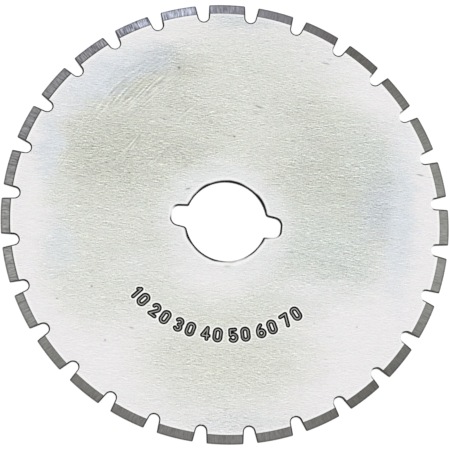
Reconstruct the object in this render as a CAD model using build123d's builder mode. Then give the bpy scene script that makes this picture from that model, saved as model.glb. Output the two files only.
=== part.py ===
"""Perforating blade for a hand-held rotary cutter.

One disc of stainless steel sheet. It is blanked with a row of round-bottomed notches in its rim
and an eared arbor hole in its middle, and its rim is then ground to an edge from both sides.
The teeth left between the notches cut, and the notches leave the cloth or paper whole, so the
wheel rolls a perforated line.

Frame: the blade lies flat with +Z up. Z = 0 is the underside, the origin is on the arbor hole's
axis, and the hole's ears point along X. Lengths are millimetres and angles are degrees.
"""

import os
from math import cos, radians, sin, tan

from build123d import *

# --- driving dimensions ---------------------------------------------------------------------

blade_diameter = 45.0  # over the cutting edge
sheet_thickness = 0.30

bevel_width = 0.95  # from the flat face out to the cutting edge
hone_width = 0.13  # the steeper band along the edge, inside the bevel's width
hone_thickness = 0.10  # of the blade where the hone starts
edge_thickness = 0.02  # of the land left on the cutting edge

notch_count = 28
notch_depth = 1.70  # from the rim to the bottom of a notch
notch_root_radius = 0.53
notch_flare = 8.0  # lean of each notch wall away from the notch's centre line
tooth_corner_radius = 0.12  # where a notch wall meets the rim

arbor_hole_diameter = 8.10  # runs on an 8 mm arbor
ear_depth = 1.45  # from the hole's edge out to the tip of an ear
ear_tip_width = 1.82  # where the ear's sides would meet its tip, were the corners sharp
ear_flare = 6.5  # lean of each side of an ear, which widens towards the hole
ear_tip_radius = 0.72  # the corners at the tip of an ear
ear_round_root_radius = 0.40  # where an ear's counter-clockwise side opens into the hole
ear_sharp_root_radius = 0.15  # where its clockwise side does

die_roll_width = 0.09  # of the edge that the punch draws in, along the upper face
die_roll_depth = 0.05  # of the same edge, down the wall

# --- sizes that follow from them ------------------------------------------------------------

rim_radius = blade_diameter / 2
face_radius = rim_radius - bevel_width
hone_radius = rim_radius - hone_width
arbor_hole_radius = arbor_hole_diameter / 2
ear_reach = arbor_hole_radius + ear_depth
mid_height = sheet_thickness / 2
notch_root_center = rim_radius - notch_depth + notch_root_radius
on_outline = 0.001  # how near a corner lies to a circle that it is on

# --- one notch, opening outwards along +X ---------------------------------------------------

with BuildSketch() as notch:
    flare = radians(notch_flare)
    wall_start = (
        notch_root_center - notch_root_radius * sin(flare),
        notch_root_radius * cos(flare),
    )
    wall_length = 2 * notch_depth  # well past the rim
    with BuildLine():
        root = CenterArc(
            (notch_root_center, 0),
            notch_root_radius,
            90 + notch_flare,
            90 - notch_flare,
        )
        wall = PolarLine(wall_start, wall_length, notch_flare)
        mouth = Line(wall @ 1, ((wall @ 1).X, 0))
        mirror(about=Plane.XZ)
    make_face()

# --- the arbor hole with its two ears -------------------------------------------------------

with BuildSketch() as ears:
    # Both ears are one lozenge across the hole, widest at the hole's centre.
    ear_middle_width = ear_tip_width + 2 * ear_reach * tan(radians(ear_flare))
    with BuildLine():
        tip = Line((ear_reach, 0), (ear_reach, ear_tip_width / 2))
        side = Line(tip @ 1, (0, ear_middle_width / 2))
        mirror(about=Plane.XZ)
        mirror(about=Plane.YZ)
    make_face()
    tip_corners = ears.vertices().filter_by(
        lambda corner: abs(corner.X) > ear_reach - on_outline
    )
    fillet(tip_corners, ear_tip_radius)

with BuildSketch() as arbor_opening:
    Circle(arbor_hole_radius)
    add(ears.sketch)
    # An ear's counter-clockwise side is on the side of +Y on +X, and of -Y on -X.
    for side_sign, root_radius in ((1, ear_round_root_radius), (-1, ear_sharp_root_radius)):
        ear_roots = arbor_opening.vertices().filter_by(
            lambda corner: abs(corner.center().length - arbor_hole_radius) < on_outline
            and side_sign * corner.X * corner.Y > 0
        )
        fillet(ear_roots, root_radius)

# --- the blade ------------------------------------------------------------------------------

with BuildPart() as blade:
    # The blank, punched out of the sheet from above.
    with BuildSketch() as blank:
        Circle(rim_radius)
        with PolarLocations(0, notch_count):
            add(notch.sketch, mode=Mode.SUBTRACT)
        tooth_corners = blank.vertices().filter_by(
            lambda corner: abs(corner.center().length - rim_radius) < on_outline
        )
        fillet(tooth_corners, tooth_corner_radius)
        add(arbor_opening.sketch, mode=Mode.SUBTRACT)
    extrude(amount=sheet_thickness)

    # The punch draws the upper edges in a little, all round the outline and the hole.
    upper_face = blade.faces().sort_by(Axis.Z)[-1]
    chamfer(upper_face.edges(), die_roll_width, die_roll_depth, reference=upper_face)

    # The rim is ground from both sides: a long bevel, then the short hone along the edge.
    mid_plane = Plane(origin=(0, 0, mid_height), x_dir=(1, 0, 0), z_dir=(0, -1, 0))
    with BuildSketch(mid_plane) as ground_form:
        with BuildLine():
            Polyline(
                (0, 0),
                (0, mid_height),
                (face_radius, mid_height),
                (hone_radius, hone_thickness / 2),
                (rim_radius, edge_thickness / 2),
                (rim_radius, 0),
            )
            mirror(about=Plane.XZ)
        make_face()
    revolve(axis=Axis.Z, mode=Mode.INTERSECT)

# --- written out ----------------------------------------------------------------------------

os.makedirs("parts", exist_ok=True)
blade.part.label = "blade"
export_step(blade.part, "parts/blade.step")
print(f"blade: {blade.part.volume:.2f} mm3, {len(blade.faces())} faces")
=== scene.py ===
"""Looks of a perforating blade for a hand-held rotary cutter.

The blade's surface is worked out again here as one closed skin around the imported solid, fine
enough for its rounded punched edges and for the row of numbers stamped into its upper face.
Shapes are worked out in millimetres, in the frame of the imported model, and become metres when
they become a mesh. Angles are degrees, unless a name says radians.
"""

import logging
import math
from dataclasses import dataclass, field
from enum import Enum
from functools import cached_property, reduce
from typing import Any

import bmesh
import bpy
import numpy as np
from mathutils import Matrix, Vector


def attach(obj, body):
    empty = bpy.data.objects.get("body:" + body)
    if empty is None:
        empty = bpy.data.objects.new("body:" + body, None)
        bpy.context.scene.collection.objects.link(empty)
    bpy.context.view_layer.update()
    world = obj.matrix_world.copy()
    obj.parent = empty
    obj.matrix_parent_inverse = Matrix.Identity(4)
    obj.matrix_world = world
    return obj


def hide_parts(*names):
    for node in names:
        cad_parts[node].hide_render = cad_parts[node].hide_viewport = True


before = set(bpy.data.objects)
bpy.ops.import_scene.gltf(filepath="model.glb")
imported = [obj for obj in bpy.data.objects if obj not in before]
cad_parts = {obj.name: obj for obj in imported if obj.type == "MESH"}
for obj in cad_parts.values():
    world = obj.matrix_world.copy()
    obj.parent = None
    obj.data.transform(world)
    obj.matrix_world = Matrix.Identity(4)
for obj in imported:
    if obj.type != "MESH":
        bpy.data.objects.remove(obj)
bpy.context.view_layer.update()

Array = np.ndarray
MM = 0.001
LIGHT_FROM = 6.0  # degrees round from +X

log = logging.getLogger("blade")


# --- small helpers --------------------------------------------------------------------------


def turned(points: Array, angles: Array) -> Array:
    """Turns flat points about the origin, once for each angle.

    Args:
        points: Points of shape (rows, columns, 2).
        angles: Turns in radians, of shape (copies,).

    Returns:
        Points of shape (copies, rows, columns, 2).
    """
    cos, sin = np.cos(angles), np.sin(angles)
    turns = np.stack([np.stack([cos, sin], -1), np.stack([-sin, cos], -1)], -2)
    return np.einsum("rcx,kxy->krcy", points, turns)


def polar(radius: Array, angle: Array) -> Array:
    """Flat points at a radius and an angle in radians, on one more axis of length 2."""
    radius, angle = np.broadcast_arrays(radius, angle)
    return np.stack([radius * np.cos(angle), radius * np.sin(angle)], -1)


def raised(points: Array, height: Array) -> Array:
    """Flat points with a height added as their third coordinate."""
    height = np.broadcast_to(height, points.shape[:-1])
    return np.concatenate([points, height[..., None]], -1)


def along_to_circle(start: Array, direction: Array, radius: float) -> float:
    """How far a ray goes before it leaves a circle about the origin.

    Args:
        start: The ray's start, inside the circle.
        direction: Its unit direction.
        radius: The circle's radius.

    Returns:
        The distance s at which the length of start + s * direction is the radius.
    """
    along = float(start @ direction)
    return -along + math.sqrt(along**2 - float(start @ start) + radius**2)


def turned_to_light(points: Array, into: Array) -> Array:
    """How far edges are turned to the light: 1 is wholly towards it, -1 away from it.

    The light is compared with two directions, as the cosines of the angles seen from above:
    the way out of the metal, and the way out from the blade's middle. The result is the mean.

    Args:
        points: Points on the edges, of shape (..., 2).
        into: Directions into the metal at those points, of shape (..., 2).

    Returns:
        The means, of shape (...).
    """
    outward = points / np.linalg.norm(points, axis=-1, keepdims=True)
    inward = into / np.linalg.norm(into, axis=-1, keepdims=True)
    return (outward - inward) @ polar(0.5, math.radians(LIGHT_FROM))


def smooth_step(low: float, high: float, value: Array) -> Array:
    """Climbs from 0 at low to 1 at high, level at both ends: 3 x^2 - 2 x^3."""
    x = np.clip((value - low) / (high - low), 0.0, 1.0)
    return x * x * (3.0 - 2.0 * x)


class Surface(Enum):
    """The blade's kinds of surface, in the order of its material slots."""

    FACE = 0
    BEVEL = 1
    WALL = 2


# --- the skin that grids are sewn into ------------------------------------------------------


class Skin:
    """Gathers grids of points and welds them into one closed mesh.

    Every point carries three values: its distances in mm from the nearest punched edge and
    from the middle of the nearest stamped stroke, and how far that edge is turned to the light.
    """

    WELD = 2e-5  # mm, within which two points are the same one
    SHARP = 40.0  # degrees, past which a corner's shading breaks
    LEVEL = 0.04  # mm, up to which an edge on a crease circle is level
    NEAR = 1e-3  # mm, up to which a point is on a crease circle
    FAR = 1.0  # mm, from anything that a point without a distance is said to be
    VALUES = {"edge_distance": FAR, "stroke_distance": FAR, "edge_light": 0.0}

    def __init__(self) -> None:
        """Starts with no points and no faces."""
        self._points: list[Array] = []
        self._values: dict[str, list[Array]] = {name: [] for name in self.VALUES}
        self._faces: list[Array] = []
        self._surfaces: list[Array] = []
        self._count = 0

    def _keep_points(self, points: Array, **given: Array | float) -> Array:
        """Stores points with their values.

        Args:
            points: Points of shape (..., 3).
            given: Values of the points by name, which broadcast to them.

        Returns:
            The points' indices, of shape (...).
        """
        shape = points.shape[:-1]
        self._points.append(points.reshape(-1, 3))
        for name, usual in self.VALUES.items():
            value = np.broadcast_to(given.get(name, usual), shape)
            self._values[name].append(value.reshape(-1))
        first = self._count
        self._count += int(np.prod(shape))
        return np.arange(first, self._count).reshape(shape)

    def _keep_faces(self, faces: Array, surface: Surface, flip: bool) -> None:
        """Stores faces.

        Args:
            faces: Indices of their points, of shape (..., corners).
            surface: The kind of surface.
            flip: Whether the faces are turned over.
        """
        faces = faces.reshape(-1, faces.shape[-1])
        self._faces.append(faces[:, ::-1] if flip else faces)
        self._surfaces.append(np.full(len(faces), surface.value))

    def grid(
        self, points: Array, surface: Surface, flip: bool = False, **given: Array | float
    ) -> None:
        """Adds quads between neighbours of one grid, or of several of the same shape.

        A face's normal is the cross product of the way along rows and the way along columns.

        Args:
            points: Points of shape (..., rows, columns, 3).
            surface: The kind of surface.
            flip: Whether the faces are turned over.
            given: Values of the points by name, which broadcast to the grid.
        """
        at = self._keep_points(points, **given)
        corners = [at[..., :-1, :-1], at[..., 1:, :-1], at[..., 1:, 1:], at[..., :-1, 1:]]
        self._keep_faces(np.stack(corners, -1), surface, flip)

    def plate(self, sides: tuple[Array, ...], surface: Surface, **given: Array | float) -> None:
        """Adds two grids that lie over each other, the lower of them turned over.

        Args:
            sides: The lower and the upper grid's points.
            surface: The kind of surface of both.
            given: Values of the points by name, which broadcast to the grids.
        """
        lower, upper = sides
        self.grid(upper, surface, **given)
        self.grid(lower, surface, flip=True, **given)

    def fans(self, coarse: Array, fine: Array, surface: Surface, flip: bool = False) -> None:
        """Joins single steps to rows of finer steps with triangles.

        The first half of the fine steps meets the coarse step's first point, and the second
        half its last, with one triangle between.

        Args:
            coarse: The ends of the single steps, of shape (..., 2, 3).
            fine: The finer rows that run beside them, of shape (..., steps + 1, 3).
            surface: The kind of surface.
            flip: Whether the faces are turned over.
        """
        near = self._keep_points(coarse)
        far = self._keep_points(fine)
        steps = far.shape[-1] - 1
        middle = steps // 2
        hub = np.where(np.arange(steps) < middle, near[..., :1], near[..., 1:])
        blades = np.stack([hub, far[..., :-1], far[..., 1:]], -1)
        self._keep_faces(blades, surface, flip)
        closing = np.stack([near[..., 0], far[..., middle], near[..., 1]], -1)
        self._keep_faces(closing, surface, flip)

    def to_mesh(self, name: str, creases: tuple[float, ...]) -> bpy.types.Mesh:
        """Welds what was gathered into a mesh in metres.

        Args:
            name: The mesh's name.
            creases: Radii in mm of the circles along which the shading breaks.

        Returns:
            The mesh, smooth but for its creases and its sharp corners.
        """
        faces = [face for block in self._faces for face in block.tolist()]
        mesh = bpy.data.meshes.new(name)
        mesh.from_pydata(np.concatenate(self._points) * MM, [], faces)
        mesh.polygons.foreach_set(
            "material_index", np.concatenate(self._surfaces).astype(np.int32)
        )
        for label, values in self._values.items():
            attribute = mesh.attributes.new(label, "FLOAT", "POINT")
            attribute.data.foreach_set("value", np.concatenate(values).astype(np.float32))
        work = bmesh.new()
        work.from_mesh(mesh)
        bmesh.ops.remove_doubles(work, verts=work.verts, dist=self.WELD * MM)
        gaps = sum(not joined.is_manifold for joined in work.edges)
        log.info("%s: %d faces, %d open edges", name, len(work.faces), gaps)
        work.to_mesh(mesh)
        work.free()
        self._break_shading(mesh, creases)
        return mesh

    @staticmethod
    def _break_shading(mesh: bpy.types.Mesh, creases: tuple[float, ...]) -> None:
        """Marks sharp corners and the level edges on the crease circles as sharp.

        Args:
            mesh: The mesh.
            creases: Radii in mm of the circles.
        """
        mesh.polygons.foreach_set("use_smooth", np.ones(len(mesh.polygons), bool))
        mesh.set_sharp_from_angle(angle=math.radians(Skin.SHARP))
        points = np.empty(len(mesh.vertices) * 3, np.float32)
        mesh.vertices.foreach_get("co", points)
        points = points.reshape(-1, 3) / MM
        ends = np.empty(len(mesh.edges) * 2, np.int32)
        mesh.edges.foreach_get("vertices", ends)
        ends = ends.reshape(-1, 2)
        radius = np.hypot(points[:, 0], points[:, 1])
        level = np.abs(np.diff(points[ends, 2], axis=1)[:, 0]) < Skin.LEVEL
        sharp = np.empty(len(mesh.edges), bool)
        mesh.attributes["sharp_edge"].data.foreach_get("value", sharp)
        for crease in creases:
            on_circle = np.abs(radius - crease) < Skin.NEAR
            sharp |= on_circle[ends].all(1) & level
        mesh.attributes["sharp_edge"].data.foreach_set("value", sharp)
        mesh.update()


# --- the blade's shape ----------------------------------------------------------------------


@dataclass(frozen=True)
class Section:
    """The blade's thickness: flat faces, a double bevel with a hone, and drawn-in edges."""

    rim_radius: float
    thickness: float
    bevel_width: float = 0.95
    hone_width: float = 0.13
    hone_thickness: float = 0.10
    edge_thickness: float = 0.02
    roll_width: float = 0.09
    roll_depth: float = 0.05
    roll_steps: int = 5

    @property
    def face_radius(self) -> float:
        """Where the flat face ends and the bevel starts."""
        return self.rim_radius - self.bevel_width

    @property
    def hone_radius(self) -> float:
        """Where the bevel ends and the steeper hone starts."""
        return self.rim_radius - self.hone_width

    def roll_offsets(self) -> Array:
        """Distances from a punched edge at which its rounding turns by equal angles."""
        turn = np.linspace(0.0, math.pi / 2, self.roll_steps + 1)
        return self.roll_width * (1.0 - np.cos(turn))

    def top(self, radius: Array, edge: Array) -> Array:
        """Height of the upper surface.

        The punched edge is a quarter of an ellipse, and the bevel and hone are straight lines
        in half the thickness against the radius. The lower of the two is the surface.

        Args:
            radius: Distance from the blade's axis.
            edge: Distance from the nearest punched edge.

        Returns:
            The height above the underside.
        """
        inward = np.clip(1.0 - edge / self.roll_width, 0.0, 1.0)
        roll = self.thickness - self.roll_depth * (1.0 - np.sqrt(1.0 - inward**2))
        return np.minimum(roll, self.thickness / 2 + self._half(radius))

    def bottom(self, radius: Array) -> Array:
        """Height of the lower surface, which has the same bevel and no drawn-in edge."""
        return self.thickness / 2 - self._half(radius)

    def sides(self, flat: Array, edge: Array) -> tuple[Array, Array]:
        """Carries flat points onto both surfaces.

        Args:
            flat: Points of shape (..., 2).
            edge: Their distances from the nearest punched edge.

        Returns:
            Points of the lower and of the upper surface, of shape (..., 3).
        """
        radius = np.hypot(flat[..., 0], flat[..., 1])
        return raised(flat, self.bottom(radius)), raised(flat, self.top(radius, edge))

    def _half(self, radius: Array) -> Array:
        """Half of the ground thickness, straight between three circles.

        Args:
            radius: Distance from the blade's axis.

        Returns:
            The halves.
        """
        places = [self.face_radius, self.hone_radius, self.rim_radius]
        halves = [self.thickness / 2, self.hone_thickness / 2, self.edge_thickness / 2]
        return np.interp(radius, places, halves)


@dataclass(frozen=True)
class NotchRow:
    """The round-bottomed notches in the rim, each with walls that lean apart."""

    section: Section
    count: int = 28
    depth: float = 1.70
    root_radius: float = 0.53
    flare: float = 8.0
    corner_radius: float = 0.12
    collar: float = 0.12
    root_steps: int = 8
    bevel_steps: int = 4
    corner_steps: int = 5
    tooth_steps: int = 12

    @property
    def period(self) -> float:
        """The angle in radians from one notch to the next."""
        return 2 * math.pi / self.count

    @property
    def root_center(self) -> float:
        """Distance of the root arc's centre from the blade's axis."""
        return self.section.rim_radius - self.depth + self.root_radius

    @property
    def face_row(self) -> int:
        """Which point of the outline lies where the bevel starts."""
        return self.root_steps + 1

    @property
    def base_radius(self) -> float:
        """Radius of the circle that just misses the notches' collars."""
        return self.root_center - self.root_radius - self.collar

    def outline(self) -> Array:
        """Half of a notch that opens along +X, from its bottom round to the rim.

        It is an arc of 90 degrees less the flare about the root's centre, a straight wall with
        points on the circles where bevel and hone start, and an arc that touches the rim.

        Returns:
            Points of shape (steps + 1, 2).
        """
        section = self.section
        lean = math.radians(self.flare)
        along = np.array([math.cos(lean), math.sin(lean)])
        across = np.array([-math.sin(lean), math.cos(lean)])
        center = np.array([self.root_center, 0.0])
        bow = np.linspace(0.0, math.pi / 2 - lean, self.root_steps + 1)
        root = center + self.root_radius * np.stack([-np.cos(bow), np.sin(bow)], -1)
        start = root[-1]
        to_face = along_to_circle(start, along, section.face_radius)
        to_hone = along_to_circle(start, along, section.hone_radius)
        in_metal = start + self.corner_radius * across
        to_corner = along_to_circle(in_metal, along, section.rim_radius - self.corner_radius)
        runs = np.append(np.linspace(to_face, to_hone, self.bevel_steps + 1), to_corner)
        wall = start + runs[:, None] * along
        corner_center = in_metal + to_corner * along
        first = lean - math.pi / 2
        last = math.atan2(corner_center[1], corner_center[0])
        round_corner = np.linspace(first, last, self.corner_steps + 1)[1:]
        corner = corner_center + polar(self.corner_radius, round_corner)
        return np.concatenate([root, wall, corner])

    def collars(self, offsets: Array) -> Array:
        """Half a notch's outline carried into the metal.

        Root points move along a direction that turns from straight down to round the blade,
        and the rest move round the blade, which keeps them on their circles.

        Args:
            offsets: Distances into the metal.

        Returns:
            Points of shape (outline points, offsets, 2).
        """
        outline = self.outline()
        wall_angle = np.arctan2(outline[:, 1], outline[:, 0])
        reach = np.hypot(outline[:, 0], outline[:, 1])
        round_blade = polar(reach[:, None], wall_angle[:, None] + offsets / reach[:, None])
        last = math.pi / 2 - wall_angle[self.root_steps]
        turn = np.linspace(0.0, last, self.root_steps + 1)
        inward = np.stack([-np.cos(turn), np.sin(turn)], -1)
        from_root = outline[: self.root_steps + 1, None] + offsets[:, None] * inward[:, None]
        round_blade[: self.root_steps] = from_root[: self.root_steps]
        return round_blade

    def add_to(self, skin: Skin) -> None:
        """Sews the notches, and the teeth between them, into the skin.

        Args:
            skin: The skin to add to.
        """
        section = self.section
        offsets = np.append(section.roll_offsets(), self.collar)
        half = self.collars(offsets)
        mirrored = half[:0:-1] * np.array([1.0, -1.0])
        angles = np.arange(self.count) * self.period
        self._add_band(skin, turned(np.concatenate([mirrored, half]), angles), offsets)
        self._add_teeth(skin, half, angles)

    def _add_band(self, skin: Skin, band: Array, offsets: Array) -> None:
        """Adds the drawn-in edge and the wall of every notch.

        Args:
            skin: The skin to add to.
            band: The notches' outlines and collars, of shape (notches, points, offsets, 2).
            offsets: Distances of the band's rows from the punched edge.
        """
        lower, upper = self.section.sides(band, offsets)
        middle = band.shape[1] // 2
        light = turned_to_light(band[:, :, 0], band[:, :, -1] - band[:, :, 0])[..., None]
        ends = (0, middle - self.face_row, middle + self.face_row, band.shape[1] - 1)
        surfaces = (Surface.BEVEL, Surface.FACE, Surface.BEVEL)
        for first, last, surface in zip(ends, ends[1:], surfaces):
            part = (slice(None), slice(first, last + 1))
            values = {"edge_distance": offsets, "edge_light": light[part]}
            skin.plate((lower[part], upper[part]), surface, **values)
        wall = wall_between(lower[:, :, 0], upper[:, :, 0])
        skin.grid(wall, Surface.WALL, edge_distance=0.0, edge_light=light)

    def _add_teeth(self, skin: Skin, half: Array, angles: Array) -> None:
        """Adds both sides of every tooth between two notches, and the land on its edge.

        Each row is an arc at the radius of one point of the notches' collars, from the collar
        of one notch to the collar of the next.

        Args:
            skin: The skin to add to.
            half: Half of a notch's outline and collars, of shape (points, offsets, 2).
            angles: The notches' places round the blade in radians.
        """
        side = half[:, -1]
        radius = np.hypot(side[:, 0], side[:, 1])
        start = np.arctan2(side[:, 1], side[:, 0])
        share = np.linspace(0.0, 1.0, self.tooth_steps + 1)
        sweep = start[:, None] + share * (self.period - 2 * start[:, None])
        nearest = np.minimum(sweep - start[:, None], sweep[:, ::-1] - start[:, None])
        edge = self.collar + radius[:, None] * np.abs(nearest)
        tooth = polar(radius[:, None], sweep + angles[:, None, None])
        lower = raised(tooth, self.section.bottom(radius[:, None]))
        upper = raised(tooth, self.section.top(radius[:, None], edge))
        into = half[:, -1:] - half[:, :1]
        before = turned(into, angles)
        after = turned(into * np.array([1.0, -1.0]), angles + self.period)
        light = turned_to_light(tooth, np.where(share[:, None] < 0.5, before, after))
        rows = (slice(None, self.face_row + 1), slice(self.face_row, None))
        for row, surface in zip(rows, (Surface.FACE, Surface.BEVEL)):
            part = (slice(None), row)
            values = {"edge_distance": edge[row], "edge_light": light[part]}
            skin.plate((lower[part], upper[part]), surface, **values)
        collar = np.arctan2(half[-1, :, 1], half[-1, :, 0])
        land = np.concatenate([collar[:-1], sweep[-1], self.period - collar[-2::-1]])
        rim = polar(self.section.rim_radius, land + angles[:, None])
        low, high = (raised(rim, side[0, -1, 0, 2]) for side in (lower, upper))
        skin.grid(wall_between(low, high), Surface.BEVEL)


def wall_between(
    lower: Array, upper: Array, shares: tuple[float, ...] = (0.0, 0.35, 0.7, 1.0)
) -> Array:
    """A wall from a lower outline up to an upper one, straight between them.

    Args:
        lower: Points of shape (..., 3).
        upper: The points above them.
        shares: Where the wall's rows lie, from 0 at the lower outline to 1 at the upper.

    Returns:
        Points of shape (..., rows, 3).
    """
    share = np.array(shares)[:, None]
    return lower[..., None, :] * (1 - share) + upper[..., None, :] * share


@dataclass(frozen=True)
class ArborHole:
    """The round hole in the middle with an ear at each end of its X diameter."""

    section: Section
    radius: float = 4.05
    ear_depth: float = 1.45
    ear_tip_width: float = 1.82
    ear_flare: float = 6.5
    ear_tip_radius: float = 0.72
    ear_round_root_radius: float = 0.40
    ear_sharp_root_radius: float = 0.15
    collar: float = 0.12
    tip_steps: int = 2
    corner_steps: int = 14
    side_steps: int = 4
    root_steps: int = 8

    def _quarter(self, root_radius: float, steps: int) -> tuple[Array, Array]:
        """A quarter of the outline, from the tip of the ear on +X to the top of the hole.

        It is the flat of the tip, the arc at its corner, the ear's leaning side, the arc into
        the hole and the hole's own arc.

        Args:
            root_radius: Radius of the arc into the hole.
            steps: Steps in the quarter.

        Returns:
            Points of shape (steps + 1, 2), and the angles in radians at which they face the
            metal, of shape (steps + 1,).
        """
        lean = math.radians(self.ear_flare)
        across = np.array([math.sin(lean), math.cos(lean)])
        along = np.array([-math.cos(lean), math.sin(lean)])
        reach = self.radius + self.ear_depth
        sharp_tip = np.array([reach, self.ear_tip_width / 2])
        corner_x = reach - self.ear_tip_radius
        corner_rise = float(sharp_tip @ across) - self.ear_tip_radius - corner_x * across[0]
        corner = np.array([corner_x, corner_rise / across[1]])
        out = float(sharp_tip @ across) + root_radius
        back = math.sqrt((self.radius + root_radius) ** 2 - out**2)
        root = out * across - back * along
        side_start = corner + self.ear_tip_radius * across
        side_end = root - root_radius * across
        root_angle = math.atan2(root[1], root[0])
        side_angle = math.pi / 2 - lean

        flat = np.linspace([reach, 0.0], [reach, corner[1]], self.tip_steps + 1)[:-1]
        bend = np.linspace(0.0, side_angle, self.corner_steps + 1)[:-1]
        side = np.linspace(side_start, side_end, self.side_steps + 1)[:-1]
        dip = np.linspace(side_angle, root_angle, self.root_steps + 1)[:-1]
        used = self.tip_steps + self.corner_steps + self.side_steps + self.root_steps
        circle = np.linspace(root_angle, math.pi / 2, steps - used + 1)
        tip, hollow = corner + polar(self.ear_tip_radius, bend), root - polar(root_radius, dip)
        points = np.concatenate([flat, tip, side, hollow, polar(self.radius, circle)])
        straight = (np.zeros(len(flat)), np.full(len(side), side_angle))
        return points, np.concatenate([straight[0], bend, straight[1], dip, circle])

    def outline(self, quarter_steps: int) -> tuple[Array, Array]:
        """The hole's outline, counter-clockwise from the tip of the ear on +X.

        The second quarter mirrors a quarter with the sharper root, and the second half is the
        first turned by half a turn.

        Args:
            quarter_steps: Steps in a quarter of the outline.

        Returns:
            Points and unit directions into the metal, both of shape (4 * quarter_steps, 2).
        """
        points, facing = self._quarter(self.ear_round_root_radius, quarter_steps)
        others, others_facing = self._quarter(self.ear_sharp_root_radius, quarter_steps)
        mirrored = others[:0:-1] * np.array([-1.0, 1.0])
        half = np.concatenate([points[:-1], mirrored])
        half_facing = np.concatenate([facing[:-1], math.pi - others_facing[:0:-1]])
        whole_facing = np.concatenate([half_facing, half_facing + math.pi])
        return np.concatenate([half, -half]), polar(1.0, whole_facing)

    def add_to(self, skin: Skin, outer: Array, rings: tuple[float, ...]) -> None:
        """Sews the hole's wall, its drawn-in edge and the face around it into the skin.

        Args:
            skin: The skin to add to.
            outer: The circle that the face ends on, of shape (steps, 2), closed by wrapping.
            rings: Where the rows lie between the collar, at 0, and that circle, at 1.
        """
        outline, into = self.outline(len(outer) // 4)
        offsets = np.append(self.section.roll_offsets(), self.collar)
        near = outline + offsets[:, None, None] * into
        share = np.array(rings)[:, None, None]
        face = np.concatenate([near, near[-1] * (1 - share) + outer * share])
        face = np.concatenate([face, face[:, :1]], 1)
        light = turned_to_light(face[0], np.concatenate([into, into[:1]]))
        edge = np.append(offsets, self.collar + np.array(rings))[:, None]
        lower, upper = self.section.sides(face, edge)
        skin.plate((lower, upper), Surface.FACE, edge_distance=edge, edge_light=light)
        wall = wall_between(lower[0], upper[0])
        skin.grid(wall, Surface.WALL, flip=True, edge_distance=0.0, edge_light=light[:, None])


# --- the stamped numbers --------------------------------------------------------------------


@dataclass(frozen=True)
class Stroke:
    """A straight stroke of a digit, from one point to another."""

    x0: float
    y0: float
    x1: float
    y1: float

    def distance(self, x: Array, y: Array) -> Array:
        """Distance to the stroke: to the nearest point on it, its ends included.

        Args:
            x: Points' first coordinates.
            y: Their second ones.

        Returns:
            The distances.
        """
        run, rise = self.x1 - self.x0, self.y1 - self.y0
        share = ((x - self.x0) * run + (y - self.y0) * rise) / (run**2 + rise**2)
        share = np.clip(share, 0.0, 1.0)
        return np.hypot(x - self.x0 - share * run, y - self.y0 - share * rise)


@dataclass(frozen=True)
class Bow:
    """A round stroke of a digit, counter-clockwise from one angle to another."""

    x: float
    y: float
    radius: float
    start: float = 0.0
    end: float = 360.0

    def distance(self, x: Array, y: Array) -> Array:
        """Distance to the arc, or to its nearer end for a point outside its sweep.

        Args:
            x: Points' first coordinates.
            y: Their second ones.

        Returns:
            The distances.
        """
        across, up = x - self.x, y - self.y
        angle = (np.degrees(np.arctan2(up, across)) - self.start) % 360.0
        on_arc = np.abs(np.hypot(across, up) - self.radius)
        tips = self.radius * polar(1.0, np.radians([self.start, self.end]))
        to_tips = [np.hypot(across - tip_x, up - tip_y) for tip_x, tip_y in tips]
        return np.where(angle <= self.end - self.start, on_arc, np.minimum(*to_tips))


# Digits in the middle lines of their strokes: 1 high, and about 0.54 wide but for the 1.
DIGITS: dict[str, tuple[Stroke | Bow, ...]] = {
    "0": (
        Bow(0.27, 0.73, 0.27, 0.0, 180.0),
        Stroke(0.0, 0.27, 0.0, 0.73),
        Bow(0.27, 0.27, 0.27, 180.0, 360.0),
        Stroke(0.54, 0.27, 0.54, 0.73),
    ),
    "1": (Stroke(0.0, 0.80, 0.20, 1.0), Stroke(0.20, 1.0, 0.20, 0.0)),
    "2": (
        Bow(0.27, 0.73, 0.27, -40.0, 170.0),
        Stroke(0.477, 0.556, 0.0, 0.0),
        Stroke(0.0, 0.0, 0.56, 0.0),
    ),
    "3": (Bow(0.25, 0.75, 0.25, -90.0, 150.0), Bow(0.25, 0.25, 0.25, -150.0, 90.0)),
    "4": (
        Stroke(0.42, 0.0, 0.42, 1.0),
        Stroke(0.42, 1.0, 0.0, 0.30),
        Stroke(0.0, 0.30, 0.58, 0.30),
    ),
    "5": (
        Stroke(0.50, 1.0, 0.06, 1.0),
        Stroke(0.06, 1.0, 0.03, 0.54),
        Bow(0.25, 0.30, 0.30, -145.0, 132.0),
    ),
    "6": (Bow(0.28, 0.28, 0.28), Bow(0.80, 0.28, 0.80, 118.0, 180.0)),
    "7": (Stroke(0.0, 1.0, 0.54, 1.0), Stroke(0.54, 1.0, 0.18, 0.0)),
}
DIGIT_WIDTH = {"1": 0.20}
USUAL_DIGIT_WIDTH = 0.54


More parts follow.
